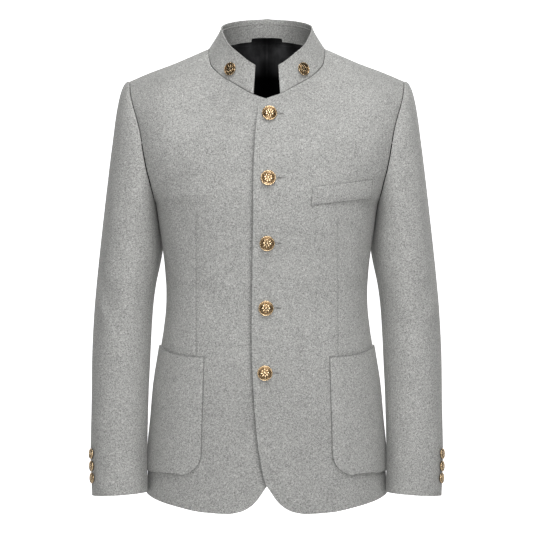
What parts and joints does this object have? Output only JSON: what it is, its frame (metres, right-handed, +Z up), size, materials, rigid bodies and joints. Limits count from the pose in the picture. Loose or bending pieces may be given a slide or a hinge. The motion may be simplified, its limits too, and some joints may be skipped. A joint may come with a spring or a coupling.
{
  "type": "mandarin collar blazer",
  "caption": "Fitted single-breasted grey wool blazer with a stand collar, gold metal buttons, a breast welt, patch pockets and a rounded cutaway front, in its hollow worn form.",
  "frame": {"origin": "middle of the neck, level with the high points of the two shoulder seams, where the wearer carries the coat", "axes": "+Z up, the chest faces -Y, +X towards the wearer's left side"},
  "size_m": [0.5324, 0.2463, 0.7455],
  "materials": {
    "grey_wool": "milled melange wool, matt with a short nap",
    "black_lining": "smooth satin lining",
    "gold_brass": "cast brass, polished high parts with darker recesses"
  },
  "bodies": {
    "root": {"front_left": "grey_wool", "front_right": "grey_wool", "back_left": "grey_wool", "back_right": "grey_wool", "sleeve_left_top": "grey_wool", "sleeve_left_under": "grey_wool", "sleeve_right_top": "grey_wool", "sleeve_right_under": "grey_wool", "collar": "grey_wool", "collar_facing": "grey_wool", "pocket_patch_left": "grey_wool", "pocket_patch_right": "grey_wool", "pocket_welt": "grey_wool", "lining_back_left": "black_lining", "lining_back_right": "black_lining", "hanger_loop": "black_lining", "button_front_1": "gold_brass", "button_front_2": "gold_brass", "button_front_3": "gold_brass", "button_front_4": "gold_brass", "button_front_5": "gold_brass", "button_collar_left": "gold_brass", "button_collar_right": "gold_brass", "button_cuff_left_1": "gold_brass", "button_cuff_left_2": "gold_brass", "button_cuff_left_3": "gold_brass", "button_cuff_right_1": "gold_brass", "button_cuff_right_2": "gold_brass", "button_cuff_right_3": "gold_brass"}
  },
  "joints": []
}
